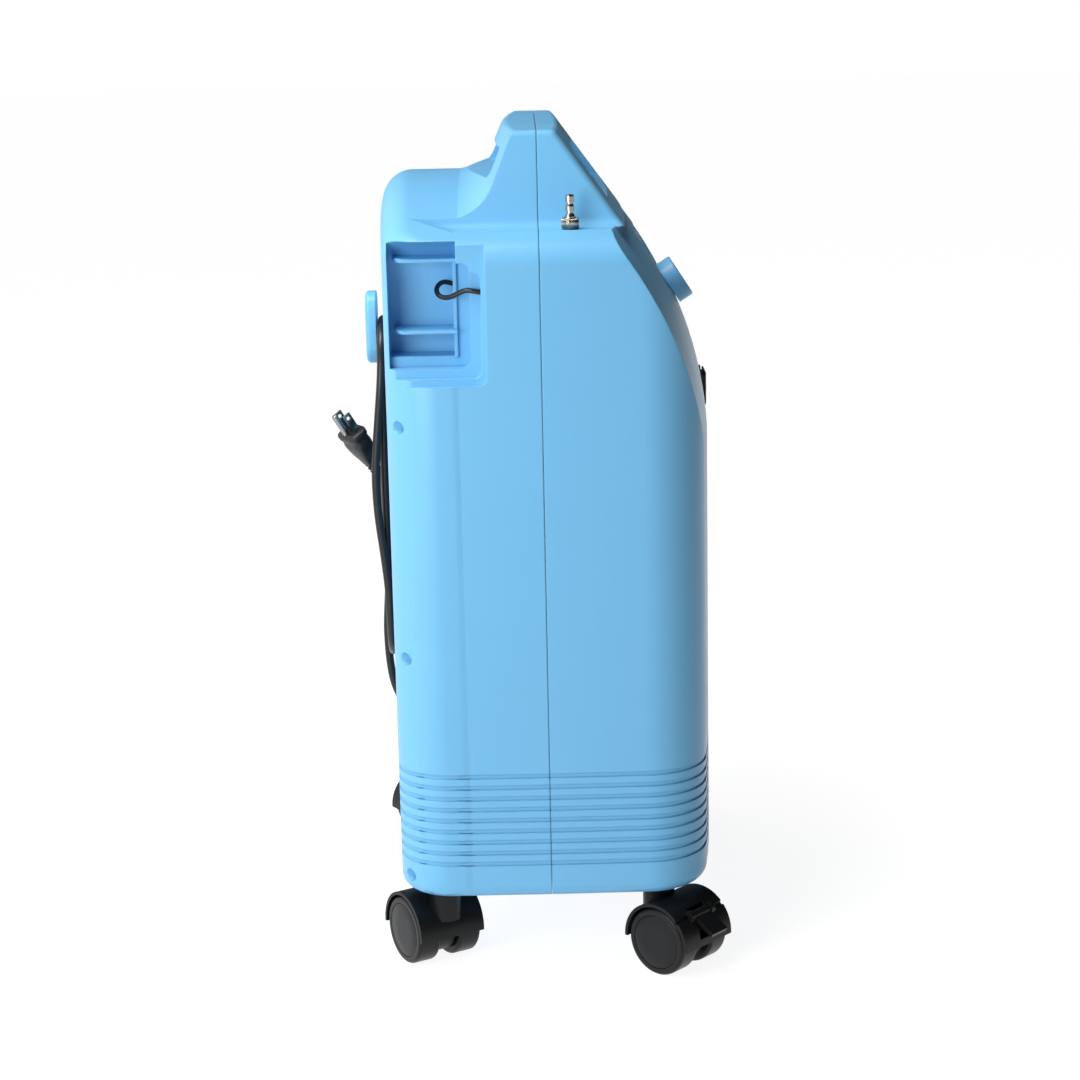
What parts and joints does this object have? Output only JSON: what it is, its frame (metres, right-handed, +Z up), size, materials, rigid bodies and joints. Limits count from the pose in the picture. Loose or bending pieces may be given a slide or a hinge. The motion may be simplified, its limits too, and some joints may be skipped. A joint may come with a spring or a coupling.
{
  "type": "oxygen concentrator",
  "caption": "Upright home oxygen concentrator in a two-shell casing with a carrying grip, flow knob, barbed outlet, cord hook, accessory pocket and swivelling casters.",
  "frame": {"origin": "middle of the footprint on the floor, measured without the power cord", "axes": "+X towards the sloping front with the controls, +Y across the machine, +Z up"},
  "size_m": [0.2855, 0.3816, 0.6015],
  "materials": {
    "casing_plastic": "satin moulded ABS, sky blue",
    "filter_plastic": "moulded, sky blue",
    "black_plastic": "fine moulded",
    "key_plastic": "smooth",
    "lcd_glass": "clear window",
    "red_plastic": "smooth",
    "cord_rubber": "PVC sheath",
    "nickel_plate": "nickel plated brass",
    "zinc_steel": "zinc plated",
    "foam": "open-cell foam",
    "mount_rubber": "moulded",
    "cast_aluminium": "cast",
    "grey_plastic": "moulded",
    "bed_tube": "anodised",
    "coil_winding": "potted",
    "board_green": "solder resist",
    "caster_nylon": "fine textured nylon",
    "pin_steel": "zinc plated",
    "wheel_nylon": "fine textured nylon",
    "lever_nylon": "fine textured nylon"
  },
  "bodies": {
    "machine": {"breaker_body": "black_plastic", "casing_screws": "zinc_steel", "caster_sockets": "grey_plastic", "chassis_tray": "zinc_steel", "compressor_body": "cast_aluminium", "compressor_feet": "mount_rubber", "compressor_heads": "cast_aluminium", "control_board": "board_green", "cooling_coil": "cast_aluminium", "cord_gland": "black_plastic", "cord_hook": "casing_plastic", "display_bezel": "black_plastic", "display_window": "lcd_glass", "fan_frame": "black_plastic", "filter_door": "filter_plastic", "filter_pad": "foam", "flow_valve_body": "black_plastic", "front_casing": "casing_plastic", "key_bracket": "grey_plastic", "mid_shelf": "grey_plastic", "outlet_nipple": "nickel_plate", "outlet_nut": "nickel_plate", "plug_blades": "nickel_plate", "plug_body": "black_plastic", "power_cord_hank": "cord_rubber", "power_cord_lead": "cord_rubber", "power_cord_tail": "cord_rubber", "product_tank": "grey_plastic", "rear_casing": "casing_plastic", "rocker_frame": "black_plastic", "sieve_beds": "bed_tube", "tether_cord": "cord_rubber", "valve_coils": "coil_winding", "valve_manifold": "cast_aluminium"},
    "knob": {"flow_knob": "casing_plastic"},
    "rocker": {"power_rocker": "black_plastic"},
    "reset_button": {"breaker_button": "red_plastic"},
    "left_key": {"key_near": "key_plastic"},
    "right_key": {"key_far": "key_plastic"},
    "fan": {"fan_rotor": "black_plastic"},
    "caster_back_near": {"caster_hood_back_near": "caster_nylon", "caster_pins_back_near": "pin_steel"},
    "wheel_a_back_near": {"wheel_a_back_near": "wheel_nylon"},
    "wheel_b_back_near": {"wheel_b_back_near": "wheel_nylon"},
    "caster_front_near": {"caster_hood_front_near": "caster_nylon", "caster_pins_front_near": "pin_steel"},
    "wheel_a_front_near": {"wheel_a_front_near": "wheel_nylon"},
    "wheel_b_front_near": {"wheel_b_front_near": "wheel_nylon"},
    "lever_front_near": {"brake_lever_front_near": "lever_nylon"},
    "caster_back_far": {"caster_hood_back_far": "caster_nylon", "caster_pins_back_far": "pin_steel"},
    "wheel_a_back_far": {"wheel_a_back_far": "wheel_nylon"},
    "wheel_b_back_far": {"wheel_b_back_far": "wheel_nylon"},
    "caster_front_far": {"caster_hood_front_far": "caster_nylon", "caster_pins_front_far": "pin_steel"},
    "wheel_a_front_far": {"wheel_a_front_far": "wheel_nylon"},
    "wheel_b_front_far": {"wheel_b_front_far": "wheel_nylon"},
    "lever_front_far": {"brake_lever_front_far": "lever_nylon"}
  },
  "joints": [
    {"name": "flow_knob_turn", "type": "hinge", "parent": "machine", "child": "knob", "pos_m": [0.09719, 0, 0.4785], "axis": [0.8387, 0, 0.5446], "range_deg": [-135, 135]},
    {"name": "power_rocker_tip", "type": "hinge", "parent": "machine", "child": "rocker", "pos_m": [0.11784, 0, 0.4015], "axis": [0, 1, 0], "range_deg": [-16, 0]},
    {"name": "reset_button_push", "type": "slide", "parent": "machine", "child": "reset_button", "axis": [-1, 0, 0], "range_m": [0, 0.002], "stiffness_N_per_m": 600},
    {"name": "left_key_push", "type": "slide", "parent": "machine", "child": "left_key", "axis": [-0.8387, 0, -0.5446], "range_m": [0, 0.0012], "stiffness_N_per_m": 500},
    {"name": "right_key_push", "type": "slide", "parent": "machine", "child": "right_key", "axis": [-0.8387, 0, -0.5446], "range_m": [0, 0.0012], "stiffness_N_per_m": 500},
    {"name": "fan_spin", "type": "hinge", "parent": "machine", "child": "fan", "pos_m": [0.00074, -0.055, 0.27], "axis": [0, 0, 1], "continuous": true},
    {"name": "swivel_back_near", "type": "hinge", "parent": "machine", "child": "caster_back_near", "pos_m": [-0.07726, -0.14, 0.06], "axis": [0, 0, 1], "continuous": true},
    {"name": "roll_a_back_near", "type": "hinge", "parent": "caster_back_near", "child": "wheel_a_back_near", "pos_m": [-0.08639, -0.12449, 0.025], "axis": [-0.8616, -0.5075, 0], "continuous": true},
    {"name": "roll_b_back_near", "type": "hinge", "parent": "caster_back_near", "child": "wheel_b_back_near", "pos_m": [-0.08639, -0.12449, 0.025], "axis": [-0.8616, -0.5075, 0], "continuous": true},
    {"name": "swivel_front_near", "type": "hinge", "parent": "machine", "child": "caster_front_near", "pos_m": [0.07874, -0.14, 0.06], "axis": [0, 0, 1], "continuous": true},
    {"name": "roll_a_front_near", "type": "hinge", "parent": "caster_front_near", "child": "wheel_a_front_near", "pos_m": [0.09191, -0.15228, 0.025], "axis": [0.682, 0.7314, 0], "continuous": true},
    {"name": "roll_b_front_near", "type": "hinge", "parent": "caster_front_near", "child": "wheel_b_front_near", "pos_m": [0.09191, -0.15228, 0.025], "axis": [0.682, 0.7314, 0], "continuous": true},
    {"name": "brake_front_near", "type": "hinge", "parent": "caster_front_near", "child": "lever_front_near", "pos_m": [0.10665, -0.16602, 0.04515], "axis": [0.682, 0.7314, 0], "range_deg": [0, 12]},
    {"name": "swivel_back_far", "type": "hinge", "parent": "machine", "child": "caster_back_far", "pos_m": [-0.07726, 0.14, 0.06], "axis": [0, 0, 1], "continuous": true},
    {"name": "roll_a_back_far", "type": "hinge", "parent": "caster_back_far", "child": "wheel_a_back_far", "pos_m": [-0.09252, 0.13046, 0.025], "axis": [0.5299, -0.848, 0], "continuous": true},
    {"name": "roll_b_back_far", "type": "hinge", "parent": "caster_back_far", "child": "wheel_b_back_far", "pos_m": [-0.09252, 0.13046, 0.025], "axis": [0.5299, -0.848, 0], "continuous": true},
    {"name": "swivel_front_far", "type": "hinge", "parent": "machine", "child": "caster_front_far", "pos_m": [0.07874, 0.14, 0.06], "axis": [0, 0, 1], "continuous": true},
    {"name": "roll_a_front_far", "type": "hinge", "parent": "caster_front_far", "child": "wheel_a_front_far", "pos_m": [0.09191, 0.15228, 0.025], "axis": [-0.682, 0.7314, 0], "continuous": true},
    {"name": "roll_b_front_far", "type": "hinge", "parent": "caster_front_far", "child": "wheel_b_front_far", "pos_m": [0.09191, 0.15228, 0.025], "axis": [-0.682, 0.7314, 0], "continuous": true},
    {"name": "brake_front_far", "type": "hinge", "parent": "caster_front_far", "child": "lever_front_far", "pos_m": [0.10665, 0.16602, 0.04515], "axis": [-0.682, 0.7314, 0], "range_deg": [0, 12]}
  ]
}
